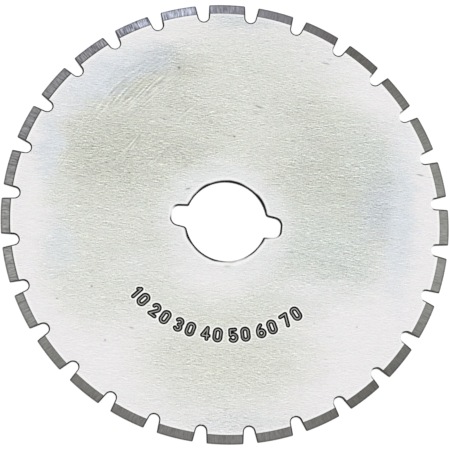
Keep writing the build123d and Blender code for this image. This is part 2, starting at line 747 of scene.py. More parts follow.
@dataclass(frozen=True)
class StampedNumbers:
    """A row of plain numbers stamped along an arc of the face, their tops to the hole."""

    thickness: float
    numbers: tuple[int, ...] = (10, 20, 30, 40, 50, 60, 70)
    first_angle: float = -134.4
    last_angle: float = -44.8
    base_radius: float = 12.12
    height: float = 1.12
    digit_gap: float = 0.62
    depth: float = 0.05
    floor_half_width: float = 0.08
    mouth_half_width: float = 0.195
    inner_radius: float = 10.45
    outer_radius: float = 12.65
    rows: int = 60

    def _width(self, digit: str) -> float:
        """Width of a digit between the middle lines of its outer strokes."""
        return DIGIT_WIDTH.get(digit, USUAL_DIGIT_WIDTH) * self.height

    def _number_width(self, text: str) -> float:
        """Width of a number, with the gaps between its digits."""
        return sum(map(self._width, text)) + self.digit_gap * (len(text) - 1)

    def distance(self, points: Array) -> Array:
        """Distance to the middle line of the nearest stroke.

        The numbers share out the arc with equal gaps. Each stands upright on its own tangent,
        so points are first taken into the number's own frame.

        Args:
            points: Flat points of shape (..., 2).

        Returns:
            Distances of shape (...).
        """
        texts = [str(number) for number in self.numbers]
        widths = np.array([self._number_width(text) for text in texts])
        middle_radius = self.base_radius - self.height / 2
        length = math.radians(self.last_angle - self.first_angle) * middle_radius
        gap = (length - widths.sum()) / (len(texts) - 1)
        places = np.cumsum(widths + gap) - gap - widths / 2
        nearest = np.full(points.shape[:-1], Skin.FAR)
        for text, width, place in zip(texts, widths, places):
            angle = math.radians(self.first_angle) + place / middle_radius
            out = np.array([math.cos(angle), math.sin(angle)])
            right = np.array([-out[1], out[0]])
            x = (points @ right + width / 2) / self.height
            y = (self.base_radius - points @ out) / self.height
            for digit in text:
                for stroke in DIGITS[digit]:
                    nearest = np.minimum(nearest, stroke.distance(x, y) * self.height)
                x = x - (self._width(digit) + self.digit_gap) / self.height
        return nearest

    def top(self, distance: Array) -> Array:
        """Height of the stamped face: flat stroke floors with walls that ease into the face."""
        wall = smooth_step(self.floor_half_width, self.mouth_half_width, distance)
        return self.thickness - self.depth * (1.0 - wall)


# --- shader maths ---------------------------------------------------------------------------

Socket = bpy.types.NodeSocket
Pair = tuple[float, float]
Tone = tuple[float, float, float]
PURE_WHITE: Tone = (1.0, 1.0, 1.0)
ROOM_RAYS = ("Is Camera Ray", "Is Glossy Ray", "Is Transmission Ray")


def tone(red: int, green: int, blue: int) -> Tone:
    """A colour written as display values from 0 to 255, as linear light."""
    shares = (value / 255.0 for value in (red, green, blue))
    return tuple(s / 12.92 if s <= 0.04045 else ((s + 0.055) / 1.055) ** 2.4 for s in shares)


class Field:
    """A number that varies over a surface, with the arithmetic of a number."""

    def __init__(self, paint: "Paint", socket: Socket) -> None:
        """Wraps a socket of a paint's nodes."""
        self.paint = paint
        self.socket = socket

    def _math(self, operation: str, first: Any, second: Any = 0.0) -> "Field":
        """Adds one Math node."""
        return self.paint.number("ShaderNodeMath", {"operation": operation}, {0: first, 1: second})

    def __add__(self, other: Any) -> "Field":
        """This plus other."""
        return self._math("ADD", self, other)

    def __sub__(self, other: Any) -> "Field":
        """This less other."""
        return self._math("SUBTRACT", self, other)

    def __rsub__(self, other: Any) -> "Field":
        """Other less this."""
        return self._math("SUBTRACT", other, self)

    def __mul__(self, other: Any) -> "Field":
        """This times other."""
        return self._math("MULTIPLY", self, other)

    __radd__ = __add__
    __rmul__ = __mul__

    def larger(self, other: Any) -> "Field":
        """The larger of this and other."""
        return self._math("MAXIMUM", self, other)

    def sine(self) -> "Field":
        """The sine of this, in radians."""
        return self._math("SINE", self)

    def rise(self, low: float, high: float) -> "Field":
        """Climbs smoothly from 0 where this is low to 1 where it is high."""
        ends = {"Value": self, "From Min": low, "From Max": high}
        return self.paint.number("ShaderNodeMapRange", {"interpolation_type": "SMOOTHSTEP"}, ends)

    def fall(self, low: float, high: float) -> "Field":
        """Falls smoothly from 1 where this is low to 0 where it is high."""
        return 1.0 - self.rise(low, high)


class Paint:
    """The nodes of a material or of the world, and the means to add to them."""

    def __init__(self, owner: bpy.types.Material | bpy.types.World) -> None:
        """Empties the owner's nodes but for its output.

        Args:
            owner: The material or world.
        """
        owner.use_nodes = True
        self.owner = owner
        self.tree = owner.node_tree
        self.tree.nodes.clear()
        kind = "World" if isinstance(owner, bpy.types.World) else "Material"
        self.output = self.node(f"ShaderNodeOutput{kind}")

    def node(
        self,
        kind: str,
        settings: dict[str, Any] | None = None,
        inputs: dict[int | str, Any] | None = None,
    ) -> bpy.types.Node:
        """Adds a node.

        Args:
            kind: The node's type.
            settings: Its properties, set before its sockets.
            inputs: Values or links of its sockets, by index or name.

        Returns:
            The node.
        """
        node = self.tree.nodes.new(kind)
        for key, value in (settings or {}).items():
            setattr(node, key, value)
        for key, value in (inputs or {}).items():
            source = value.socket if isinstance(value, Field) else value
            if isinstance(source, Socket):
                self.tree.links.new(source, node.inputs[key])
            elif isinstance(source, tuple) and node.inputs[key].type == "RGBA":
                node.inputs[key].default_value = (*source, 1.0)
            else:
                node.inputs[key].default_value = source
        return node

    def number(self, *what: Any, output: int | str = 0) -> Field:
        """Adds a node, given as node() takes it, and reads one of its outputs as a number."""
        return Field(self, self.node(*what).outputs[output])

    def vector(self, operation: str, *terms: Any, **named: Any) -> Socket:
        """Adds one Vector Math node, for places and for colours.

        Args:
            operation: What it works out.
            terms: Its vectors.
            named: Its other inputs by name: the Scale of a SCALE.

        Returns:
            The vector that comes out.
        """
        inputs = {**dict(enumerate(terms)), **named}
        return self.node("ShaderNodeVectorMath", {"operation": operation}, inputs).outputs[0]

    def parts(self, whole: Socket, kind: str = "XYZ") -> list[Field]:
        """The three numbers of a place, or of a colour where the kind is Color."""
        node = self.node(f"ShaderNodeSeparate{kind}", None, {0: whole})
        return [Field(self, part) for part in node.outputs[:3]]

    @cached_property
    def place(self) -> Socket:
        """Where a point is on the object, in millimetres."""
        where = self.node("ShaderNodeTexCoord").outputs["Object"]
        return self.vector("SCALE", where, Scale=1 / MM)

    def attribute(self, name: str) -> Field:
        """A value that the mesh carries at its points."""
        return self.number("ShaderNodeAttribute", {"attribute_name": name}, output="Fac")

    def framed(
        self, place: Socket, size: Pair, center: Pair = (0.0, 0.0), turn: float = 0.0
    ) -> Socket:
        """A place seen from a frame that is stretched, moved and turned on the face.

        Args:
            place: Where a point is.
            size: The length of the frame's two axes.
            center: The frame's origin.
            turn: How far it is turned, in degrees.

        Returns:
            The place in that frame.
        """
        frame_inputs = {
            "Vector": place,
            "Location": (*center, 0.0),
            "Rotation": (0.0, 0.0, math.radians(turn)),
            "Scale": (*size, 1.0),
        }
        return self.node("ShaderNodeMapping", {"vector_type": "TEXTURE"}, frame_inputs).outputs[0]

    def length(self, place: Socket) -> Field:
        """Distance of a place from its frame's vertical axis."""
        flat = {0: self.vector("MULTIPLY", place, (1.0, 1.0, 0.0))}
        return self.number("ShaderNodeVectorMath", {"operation": "LENGTH"}, flat, output="Value")

    def clouds(self, place: Socket, scale: float, detail: float, roughness: float) -> Any:
        """Noise about 0.5, as a number and as a colour."""
        shape = {"Vector": place, "Scale": scale, "Detail": detail, "Roughness": roughness}
        return self.node("ShaderNodeTexNoise", None, shape).outputs

    def noise(
        self, place: Socket, scale: float = 1.0, detail: float = 1.0, roughness: float = 0.5
    ) -> Field:
        """Noise about 0.5, with features about one unit of place over scale wide."""
        return Field(self, self.clouds(place, scale, detail, roughness)[0])

    def stirred(self, what: Socket, place: Socket, reach: float, detail: float) -> Socket:
        """Pushes a place or a colour about in soft clouds: by reach times noise less 0.5.

        Args:
            what: The place or colour.
            place: Where a point is among the clouds.
            reach: The whole range of the push.
            detail: The noise's detail.

        Returns:
            The place or colour, pushed.
        """
        cloud = self.clouds(place, 1.0, detail, 0.5)[1]
        push = self.vector("MULTIPLY_ADD", cloud, (reach,) * 3, (-0.5 * reach,) * 3)
        return self.vector("ADD", what, push)

    def mix(self, factor: Any, first: Any, second: Any) -> Socket:
        """The first colour where the factor is 0, and the second where it is 1."""
        inputs = {0: factor, 6: first, 7: second}
        return self.node("ShaderNodeMix", {"data_type": "RGBA"}, inputs).outputs[2]

    def seen(self) -> Field:
        """1 for rays that show the room: the camera's, and those off gloss or through glass."""
        rays = self.node("ShaderNodeLightPath").outputs
        return reduce(Field.larger, [Field(self, rays[name]) for name in ROOM_RAYS])

    def end(self, shader: Socket) -> None:
        """Makes a shader the surface."""
        self.tree.links.new(shader, self.output.inputs["Surface"])

    def steel(
        self, colour: Socket, roughness: Field, relief: Field, relief_mm: float
    ) -> bpy.types.Material:
        """Ends the paint as bare metal.

        Args:
            colour: The metal's colour.
            roughness: Its roughness.
            relief: Its fine relief, from 0 to 1.
            relief_mm: The depth of that relief.

        Returns:
            The material.
        """
        height = {"Strength": 1.0, "Distance": relief_mm * MM, "Height": relief}
        metal = {
            "Base Color": colour,
            "Metallic": 1.0,
            "Roughness": roughness,
            "Normal": self.node("ShaderNodeBump", None, height).outputs[0],
        }
        self.end(self.node("ShaderNodeBsdfPrincipled", None, metal).outputs[0])
        return self.owner


# --- the finishes ---------------------------------------------------------------------------


@dataclass(frozen=True)
class Oval:
    """A soft-edged oval on the face, turned in degrees."""

    x: float
    y: float
    wide: float
    tall: float
    turn: float
    strength: float

    @property
    def fade(self) -> Pair:
        """The shares of its size between which it fades out."""
        return 0.3, 1.3

    def cover(self, paint: Paint, place: Socket) -> Field:
        """How much it covers a place: its strength in the middle, and 0 outside."""
        local = paint.framed(place, (self.wide, self.tall), (self.x, self.y), self.turn)
        return paint.length(local).fall(*self.fade) * self.strength


@dataclass(frozen=True)
class Bloom(Oval):
    """An oval of tint, painted shade or painted reflection; a scratch where long and thin."""

    colour: Tone
    softness: float = 0.9

    @property
    def fade(self) -> Pair:
        """The shares of its size between which it fades out, further apart if it is soft."""
        return 1.0 - self.softness, 1.0 + 0.5 * self.softness


def tinted(paint: Paint, place: Socket, under: Any, blooms: tuple[Bloom, ...]) -> Any:
    """Mixes blooms over a colour, one after another.

    Args:
        paint: The paint to add nodes to.
        place: Where a point is, in millimetres.
        under: The colour below.
        blooms: The blooms, from the lowest up.

    Returns:
        The colour with the blooms on it.
    """
    for bloom in blooms:
        under = paint.mix(bloom.cover(paint, place), under, bloom.colour)
    return under


PEARL = tone(235, 233, 234)
WHITE = tone(228, 229, 229)
OLIVE = tone(218, 220, 213)
DEEP_OLIVE = tone(203, 205, 195)
MOSS = tone(205, 208, 199)
SAND = tone(216, 217, 208)
HAZE = tone(223, 224, 221)
SKY = tone(218, 223, 228)
SLATE = tone(203, 208, 212)
TEAL = tone(209, 214, 210)
# A painted highlight, for the halo beside edges, the bevel and strokes.
GLARE = tone(250, 250, 249)
# Painted highlight and painted shade for the floors of the stamped strokes.
FLOOR_HIGHLIGHT = tone(200, 202, 196)
FLOOR_SHADE = tone(128, 129, 123)
PIT = tone(90, 90, 82)
# Painted shade on the edges and stamped walls: grey where it widens, else near black.
SHADE_GREY = tone(70, 70, 67)
SHADE_BLACK = tone(20, 20, 17)


@dataclass(frozen=True)
class FaceFinish:
    """Ground faces: a straight wavy grain under a thin uneven film of protective oil."""

    face_radius: float
    film: tuple[Bloom, ...] = (
        Bloom(1.0, 18.2, 9.5, 3.6, 0.0, 0.9, HAZE),
        Bloom(1.5, -18.0, 8.5, 3.6, 0.0, 0.9, HAZE),
        Bloom(-0.5, 3.4, 17.8, 14.9, 0.0, 1.0, OLIVE, 0.16),
        Bloom(1.5, -12.6, 9.5, 5.4, 4.0, 0.8, OLIVE, 0.6),
        Bloom(-11.5, -5.5, 6.6, 7.4, 0.0, 0.85, OLIVE, 0.4),
        Bloom(-12.5, 5.6, 6.0, 5.4, 12.0, 1.0, DEEP_OLIVE),
        Bloom(-6.5, 8.4, 5.2, 4.6, 30.0, 0.95, DEEP_OLIVE),
        Bloom(-6.8, 15.1, 3.0, 1.9, 15.0, 0.95, DEEP_OLIVE),
        Bloom(10.2, 5.8, 6.9, 4.9, -14.0, 1.0, MOSS),
        Bloom(7.5, 11.5, 4.4, 2.4, -10.0, 0.50, MOSS),
        Bloom(1.6, -14.2, 8.4, 3.6, 3.0, 0.90, SAND),
        Bloom(-0.4, -10.2, 4.6, 1.2, 4.0, 0.60, SAND),
        Bloom(10.4, -1.8, 6.8, 4.4, -6.0, 0.90, TEAL),
        Bloom(14.0, 8.6, 3.2, 4.4, 20.0, 0.85, TEAL),
        Bloom(15.2, 3.2, 2.8, 3.8, 8.0, 0.95, SLATE),
        Bloom(17.4, 2.6, 1.6, 8.6, 4.0, 0.95, SKY),
        Bloom(-10.0, 14.8, 4.4, 1.7, 33.0, 1.0, SLATE),
        Bloom(-14.4, 12.8, 5.6, 2.0, 44.0, 0.95, SKY),
        Bloom(-12.8, 12.4, 2.8, 1.0, 46.0, 0.50, SLATE),
        Bloom(-10.6, 12.5, 3.6, 1.0, 36.0, 0.95, DEEP_OLIVE),
        Bloom(-6.2, 9.2, 4.2, 1.5, -12.0, 0.55, OLIVE),
        Bloom(-18.4, 4.8, 1.5, 3.8, -2.0, 0.90, SKY),
        Bloom(-17.2, 1.0, 1.7, 2.6, 0.0, 0.80, OLIVE),
        Bloom(-16.2, -4.6, 1.8, 3.2, 8.0, 0.65, SKY),
        Bloom(-8.5, -5.8, 3.6, 1.7, 4.0, 0.90, HAZE),
        Bloom(9.6, -6.1, 5.0, 2.0, -4.0, 0.90, WHITE),
        Bloom(7.1, 16.4, 3.4, 1.5, 0.0, 0.60, HAZE),
        Bloom(0.0, -0.4, 6.9, 7.0, 0.0, 1.0, WHITE, 0.30),
        Bloom(-1.0, -6.2, 4.8, 2.8, 0.0, 0.85, PEARL),
        Bloom(-1.2, 21.2, 4.4, 1.3, 2.0, 0.70, SLATE),
        Bloom(4.0, -20.6, 7.0, 1.8, 10.0, 0.30, SLATE),
    )
    marks: tuple[Bloom, ...] = (
        Bloom(1.9, 12.2, 0.48, 0.09, -16.0, 0.60, PIT),
        Bloom(1.7, 11.5, 0.30, 0.08, -12.0, 0.35, PIT),
        Bloom(8.1, 17.7, 0.45, 0.08, -6.0, 0.50, PIT),
        Bloom(18.9, 7.5, 0.45, 0.08, -3.0, 0.60, PIT),
        Bloom(20.3, 7.4, 0.80, 0.06, 2.0, 0.25, PIT),
        Bloom(-4.2, 2.8, 0.30, 0.08, 21.0, 0.70, PIT),
        Bloom(-8.1, -12.0, 0.26, 0.08, -10.0, 0.50, PIT),
        Bloom(-6.6, 15.1, 0.17, 0.14, 0.0, 0.80, PIT),
        Bloom(-10.5, -13.6, 0.12, 0.10, 0.0, 0.60, PIT),
        Bloom(-12.5, -8.4, 0.13, 0.11, 0.0, 0.70, PIT),
        Bloom(-12.6, 4.3, 0.24, 0.08, 0.0, 0.60, PIT),
        Bloom(-0.2, 8.8, 0.13, 0.12, 0.0, 0.80, PIT),
        Bloom(0.7, -4.5, 0.45, 0.18, 10.0, 0.90, DEEP_OLIVE),
        # A spot of painted shade along the top of the right ear.
        Bloom(4.9, 1.0, 0.70, 0.16, -8.0, 0.95, SHADE_BLACK, 0.4),
    )
    # Spots of painted light, where the edges' painted shade is thinned.
    rubs: tuple[Oval, ...] = (
        Oval(-5.6, 0.35, 0.5, 0.75, 0.0, 0.9),
        Oval(4.8, -0.95, 0.8, 0.4, 0.0, 0.7),
        Oval(1.4, -3.9, 1.5, 0.6, 20.0, 0.6),
    )
    # A painted shadow: the edges' painted shade widens at the lower right.
    heavy: Oval = Oval(17.2, -12.0, 9.5, 3.4, 55.0, 1.0)
    upper_side: Pair = (0.10, 0.20)
    film_drift: float = 3.0
    film_ragged: Pair = (3.2, 1.3)
    film_detail: float = 3.0
    tint_reach: float = 0.045
    tint_cloud: Pair = (0.8, 0.6)
    tint_origin: Pair = (3.0, 7.0)
    tint_detail: float = 2.0
    grain_turn: float = 3.5
    ripple_pitch: float = 0.27
    ripple_wander: float = 12.0
    ripple_strength: float = 1.5
    wander_size: Pair = (1.6, 0.8)
    patch_size: Pair = (0.44, 0.38)
    patch_origin: Pair = (5.0, 9.0)
    streak_size: Pair = (0.11, 0.10)
    streak_strength: float = 0.9
    vigour_size: Pair = (2.4, 1.0)
    least_vigour: float = 0.4
    vigour_range: float = 1.2
    grain_contrast: float = 0.87
    bare_grip: float = 0.08
    bluish_film: Pair = (0.0, 0.05)
    bluish_ease: float = 0.20
    olive_film: Pair = (0.60, 0.88)
    band_size: Pair = (4.2, 0.38)
    band_turn: float = 1.5
    band_contrast: float = 0.16
    wipes: tuple[Oval, ...] = (
        Oval(-10.0, 12.4, 6.6, 3.2, 42.0, 0.40),
        Oval(-8.8, 12.8, 5.4, 1.1, 46.0, 0.8),
        Oval(-12.7, 11.3, 3.8, 0.9, 52.0, 0.7),
        Oval(-10.3, 6.5, 1.7, 0.5, 56.0, 0.8),
        Oval(-11.2, 4.8, 1.3, 0.5, 59.0, 0.6),
        Oval(-7.6, 5.4, 1.3, 0.4, 50.0, 0.4),
        Oval(-5.4, 10.5, 1.4, 0.4, 44.0, 0.5),
        Oval(-17.0, 4.1, 1.1, 0.6, 60.0, 0.5),
    )
    wiped_grain: float = 0.35
    sweep_center: Pair = (20.9, -12.6)
    scratch_pitch: float = 0.40
    scratch_wander: float = 14.0
    scratch_glint: float = 0.36
    scratch_shade: float = 0.24
    scratch_crest: Pair = (0.45, 1.0)
    scratch_trough: Pair = (0.1, 1.0)
    scratch_fade: Pair = (0.34, 0.54)
    # Noise along the scratches: its width across them, and how often it turns per radian.
    fade_noise: Pair = (0.55, 12.0)
    wander_noise: Pair = (1.2, 8.0)
    hair_noise: Pair = (0.13, 34.0)
    hair_strength: float = 0.6
    speck_scale: float = 0.7
    speck_choice: Pair = (0.80, 0.84)
    speck_size: Pair = (0.04, 0.08)
    speck_strength: float = 0.45
    # How the edges' painted shade wavers, fades where lit, and widens near the hole.
    edge_waver: float = 0.09
    edge_waver_scale: float = 0.8
    lit: Pair = (0.60, 0.85)
    lit_bareness: float = 0.9
    unlit: Pair = (0.2, 0.5)
    hole_reach: Pair = (6.0, 8.0)
    hole_widening: float = 0.02
    heavy_widening: float = 0.055
    soot_fade: Pair = (0.10, 0.15)
    # The painted highlight beside the edges, the bevel and the stamped strokes.
    halo_fade: Pair = (0.18, 0.27)
    bevel_halo: Pair = (0.30, 0.14)
    halo_strength: float = 0.6
    stroke_halo: Pair = (0.30, 0.40)
    # Painted shade in the strokes: floors with painted highlights, walls near black.
    stroke_floor: Pair = (0.08, 0.12)
    floor_patch_scale: float = 2.4
    floor_patches: Pair = (0.34, 0.60)
    stroke_wall_foot: Pair = (0.045, 0.08)
    stroke_wall_top: Pair = (0.21, 0.235)
    foot_waver: float = 0.03
    roughness: float = 0.34
    roughness_range: float = 0.12
    grain_depth: float = 0.0012

    def material(self) -> bpy.types.Material:
        """Makes the finish, with the shadowed walls of the stamped numbers.

        The underside wears the same film turned by half a turn, and none of the marks.

        Returns:
            The material.
        """
        paint = Paint(bpy.data.materials.new("ground_face"))
        place = paint.place
        upper = paint.parts(place)[2].rise(*self.upper_side)
        turned_over = paint.vector("SCALE", place, Scale=2.0 * upper - 1.0)
        ragged = paint.framed(turned_over, self.film_ragged, turn=self.grain_turn)
        drift = paint.stirred(turned_over, ragged, self.film_drift, self.film_detail)
        clouds = paint.framed(place, self.tint_cloud, self.tint_origin, self.grain_turn)
        film = tinted(paint, drift, PEARL, self.film)
        film = paint.stirred(film, clouds, self.tint_reach, self.tint_detail)
        grain = self._grain(paint)
        bands = paint.noise(paint.framed(place, self.band_size, turn=self.band_turn))
        lines = (grain - 0.5) * self.grain_contrast + (bands - 0.5) * self.band_contrast
        wiped = reduce(Field.larger, [wipe.cover(paint, place) for wipe in self.wipes])
        strength = self._grip(paint, film) * (1.0 - wiped * self.wiped_grain)
        shade = 1.0 + lines * strength + self._scratches(paint) * wiped
        colour = paint.vector("SCALE", film, Scale=shade)
        colour = paint.mix(upper, colour, tinted(paint, place, colour, self.marks))
        colour = self._edges(paint, self._specks(paint, colour))
        roughness = self.roughness + (grain - 0.5) * self.roughness_range
        return paint.steel(colour, roughness, grain, self.grain_depth)

    def _grain(self, paint: Paint) -> Field:
        """Lays short grinding streaks nearly along X.

        They are wavering ripples, the stronger the further a patchy noise is from 0.5, with
        finer streaks over them. A third noise gives both more or less vigour.

        Args:
            paint: The paint to add nodes to.

        Returns:
            The grain, about 0.5.
        """
        along = paint.framed(paint.place, (1.0, 1.0), turn=self.grain_turn)
        wander = paint.noise(paint.framed(along, self.wander_size)) * self.ripple_wander
        phase = paint.parts(along)[1] * (math.tau / self.ripple_pitch) + wander
        patchwork = paint.framed(along, self.patch_size, self.patch_origin)
        patches = paint.noise(patchwork, detail=0.0) - 0.5
        fine = paint.noise(paint.framed(along, self.streak_size), detail=0.0) - 0.5
        uneven = paint.noise(paint.framed(along, self.vigour_size))
        vigour = self.least_vigour + uneven * self.vigour_range
        ripples = phase.sine() * patches * self.ripple_strength
        return 0.5 + (ripples + fine * self.streak_strength) * vigour

    def _grip(self, paint: Paint, film: Socket) -> Field:
        """Tells how strongly the grain shows: most in dark olive film, and hardly in pale.

        Args:
            paint: The paint to add nodes to.
            film: The film's colour.

        Returns:
            The share of the grain's contrast.
        """
        red, green, blue = paint.parts(film, "Color")
        bluish = (blue - red).rise(*self.bluish_film)
        olive = green.fall(*self.olive_film) * (1.0 - bluish * self.bluish_ease)
        return self.bare_grip + (1.0 - self.bare_grip) * olive

    def _scratches(self, paint: Paint) -> Field:
        """Lays thin pale scratches with darker sides along wide arcs.

        They are ripples on the arc's radius, which waver and come and go round the arc. A fine
        noise that is drawn out along the arcs lies over them.

        Args:
            paint: The paint to add nodes to.

        Returns:
            What the scratches add to the brightness.
        """
        swept = paint.framed(paint.place, (1.0, 1.0), self.sweep_center)
        radius = paint.length(swept)
        around = paint.vector("NORMALIZE", swept)

        def drawn_out(width: float, turns: float) -> Field:
            """Noise that is drawn out along the arcs.

            Args:
                width: Width of its features across the arcs.
                turns: How often it turns per radian along them.

            Returns:
                The noise, about 0.5.
            """
            outward = paint.node("ShaderNodeCombineXYZ", None, {"Z": radius * (1 / width)})
            terms = (around, (turns,) * 3, outward.outputs[0])
            return paint.noise(paint.vector("MULTIPLY_ADD", *terms), detail=0.0)

        fade = drawn_out(*self.fade_noise).rise(*self.scratch_fade)
        wander = drawn_out(*self.wander_noise) * self.scratch_wander
        hairs = (drawn_out(*self.hair_noise) - 0.5) * self.hair_strength
        ripple = (radius * (math.tau / self.scratch_pitch) + wander).sine()
        glint = ripple.rise(*self.scratch_crest) * self.scratch_glint
        shade = (-1.0 * ripple).rise(*self.scratch_trough) * self.scratch_shade
        return (glint - shade) * fade + hairs

    def _specks(self, paint: Paint, under: Socket) -> Socket:
        """Scatters a few tiny dark pits: the middles of one cell in five or so.

        Args:
            paint: The paint to add nodes to.
            under: The colour below.

        Returns:
            The colour with the pits.
        """
        inputs = {"Vector": paint.place, "Scale": self.speck_scale}
        cells = paint.node("ShaderNodeTexVoronoi", {"feature": "F1"}, inputs).outputs
        chosen = paint.parts(cells["Color"], "Color")[0].rise(*self.speck_choice)
        core = Field(paint, cells["Distance"]).fall(*self.speck_size)
        return paint.mix(chosen * core * self.speck_strength, under, PIT)

    def _edges(self, paint: Paint, under: Socket) -> Socket:
        """Paints shade on the drawn-in edge and stamped walls, and a highlight on the face beside.

        The painted shade on the drawn-in edge is nearly gone where the edge is turned to the
        light, and thinned in a few spots. It is wide at the hole, less so at the rim, and widest,
        as a painted shadow, on the far sides of the notches at the lower right. The floors of the
        stamped strokes are painted shade with patches of painted highlight.

        Args:
            paint: The paint to add nodes to.
            under: The colour below.

        Returns:
            The colour with its edges.
        """
        place = paint.place
        radius = paint.length(place)
        uneven = (paint.noise(place, self.edge_waver_scale) - 0.5) * self.edge_waver
        light = paint.attribute("edge_light")
        # A painted shadow that widens the edges' painted shade at the lower right.
        heavy = self.heavy.cover(paint, place) * light.fall(*self.unlit)
        wider = radius.fall(*self.hole_reach) * self.hole_widening + heavy * self.heavy_widening
        edge = paint.attribute("edge_distance") + uneven - wider
        stroke = paint.attribute("stroke_distance")
        # A painted highlight beside the edges, the bevel and the strokes.
        at_bevel = radius.rise(*(self.face_radius - reach for reach in self.bevel_halo))
        beside = edge.fall(*self.halo_fade).larger(at_bevel) * self.halo_strength
        colour = paint.mix(beside.larger(stroke.fall(*self.stroke_halo)), under, GLARE)
        # Painted shade on the drawn-in edges, thinned where they face the light and in spots.
        shade = 1.0 - light.rise(*self.lit) * self.lit_bareness
        for shade_gap in self.rubs:
            shade = shade * (1.0 - shade_gap.cover(paint, place))
        edge_shade = paint.mix(heavy, SHADE_BLACK, SHADE_GREY)
        colour = paint.mix(edge.fall(*self.soot_fade) * shade, colour, edge_shade)
        # Painted shade in the strokes: floors with patches of painted highlight, walls black.
        patches = paint.noise(place, self.floor_patch_scale).rise(*self.floor_patches)
        floor = paint.mix(patches, FLOOR_SHADE, FLOOR_HIGHLIGHT)
        colour = paint.mix(stroke.fall(*self.stroke_floor), colour, floor)
        foot = (stroke + patches * self.foot_waver).rise(*self.stroke_wall_foot)
        return paint.mix(foot * stroke.fall(*self.stroke_wall_top), colour, SHADE_BLACK)


@dataclass(frozen=True)
class BevelFinish:
    """Ground bevels: steel in painted shade, with fine marks of the wheel across the edge."""

    section: Section
    # Painted shade: the bevel's steel is darker than the face's, for its darker reflections.
    steel: Tone = tone(104, 103, 99)
    # Painted shade for lines where the face ends, along the hone and at the notches.
    dark: Tone = tone(62, 61, 60)
    # Painted reflections along the rim: pale, bluish, and one darker at the lower right.
    sheens: tuple[Bloom, ...] = (
        Bloom(21.8, 0.9, 15.6, 15.6, 0.0, 1.0, tone(151, 151, 148), 1.0),
        Bloom(-21.6, -4.6, 17.0, 17.0, 0.0, 1.0, tone(151, 151, 149), 1.0),
        Bloom(-19.9, 9.3, 11.0, 11.0, 0.0, 0.9, tone(140, 140, 143), 1.0),
        Bloom(1.5, -21.9, 14.0, 14.0, 0.0, 1.0, tone(126, 124, 122), 0.7),
        Bloom(-6.8, 21.0, 13.0, 13.0, 0.0, 1.0, tone(150, 150, 161), 1.0),
        Bloom(-8.6, 20.2, 4.8, 4.8, 0.0, 1.0, tone(175, 179, 195), 0.8),
        Bloom(17.5, -13.4, 6.4, 6.4, 0.0, 0.48, tone(92, 91, 89), 1.0),
    )
    # An oval's two sizes, its middle, and for the first its turn.
    blue_side: tuple[Pair, Pair, float] = ((12.0, 6.0), (-9.8, 20.0), 26.0)
    left_side: tuple[Pair, Pair] = ((22.0, 22.0), (-20.5, 6.0))
    blue_fade: Pair = (0.2, 1.1)
    left_fade: Pair = (0.5, 1.1)
    mark_turns: float = 210.0
    mark_roughness: float = 0.6
    mark_share: float = 0.80
    mottle_scale: float = 5.0
    mottle_share: float = 0.20
    mark_contrast: float = 1.4
    blue_contrast: float = 2.6
    inner_line: Pair = (0.04, 0.20)
    inner_strength: float = 0.25
    inner_strength_left: float = 0.65
    hone_line: Pair = (-0.06, 0.02)
    hone_strength: float = 0.45
    end_line: Pair = (0.09, 0.18)
    end_strength: float = 0.9
    roughness: float = 0.36
    roughness_range: float = 0.15
    mark_depth: float = 0.0015

    def material(self) -> bpy.types.Material:
        """Makes the finish.

        The wheel's marks stand out more on the left, and most where the painted reflection is
        blue. Lines of painted shade run where the face ends, along the hone and at the notches.

        Returns:
            The material.
        """
        paint = Paint(bpy.data.materials.new("ground_bevel"))
        place = paint.place
        radius = paint.length(place)
        marks = self._wheel_marks(paint)
        colour = tinted(paint, place, self.steel, self.sheens)
        blue = paint.length(paint.framed(place, *self.blue_side)).fall(*self.blue_fade)
        left = paint.length(paint.framed(place, *self.left_side)).fall(*self.left_fade)
        contrast = self.mark_contrast * (1.0 + left) + self.blue_contrast * blue
        colour = paint.vector("SCALE", colour, Scale=1.0 + (marks - 0.5) * contrast)
        inner = radius.fall(*(self.section.face_radius + out for out in self.inner_line))
        hone = radius.rise(*(self.section.hone_radius + out for out in self.hone_line))
        ends = paint.attribute("edge_distance").fall(*self.end_line)
        line = inner * (self.inner_strength + self.inner_strength_left * left)
        line = line.larger(hone * self.hone_strength).larger(ends * self.end_strength)
        roughness = self.roughness + (marks - 0.5) * self.roughness_range
        return paint.steel(paint.mix(line, colour, self.dark), roughness, marks, self.mark_depth)

    def _wheel_marks(self, paint: Paint) -> Field:
        """Lays noise on the direction, which draws it out along the radius, and mottling.

        Args:
            paint: The paint to add nodes to.

        Returns:
            The marks, about 0.5.
        """
        direction = paint.vector("NORMALIZE", paint.place)
        wound = paint.vector("SCALE", direction, Scale=self.mark_turns)
        across = paint.noise(wound, roughness=self.mark_roughness) * self.mark_share
        return across + paint.noise(paint.place, self.mottle_scale) * self.mottle_share


@dataclass(frozen=True)
class WallFinish:
    """Walls as the punch left them: burnish over darker fracture, toned dark by painted shade."""

    thickness: float
    # The walls' real burnish and fracture bands, both darkened by painted shade.
    burnished: Tone = tone(58, 57, 54)
    torn: Tone = tone(38, 38, 35)
    torn_share: Pair = (0.45, 0.60)
    streak_size: Pair = (0.05, 0.05)
    streak_contrast: float = 0.6
    waver: float = 0.08
    roughness: float = 0.55
    burnish: float = 0.2
    streak_depth: float = 0.006

    def material(self) -> bpy.types.Material:
        """Makes the finish.

        Returns:
            The material.
        """
        paint = Paint(bpy.data.materials.new("punched_wall"))
        streaks = paint.noise(paint.framed(paint.place, self.streak_size), detail=2.0)
        line = paint.parts(paint.place)[2] + (streaks - 0.5) * self.waver
        above = line.rise(*(share * self.thickness for share in self.torn_share))
        colour = paint.mix(above, self.torn, self.burnished)
        colour = paint.vector("SCALE", colour, Scale=1.0 + (streaks - 0.5) * self.streak_contrast)
        roughness = self.roughness - above * self.burnish
        return paint.steel(colour, roughness, streaks, self.streak_depth)


# --- the blade ------------------------------------------------------------------------------


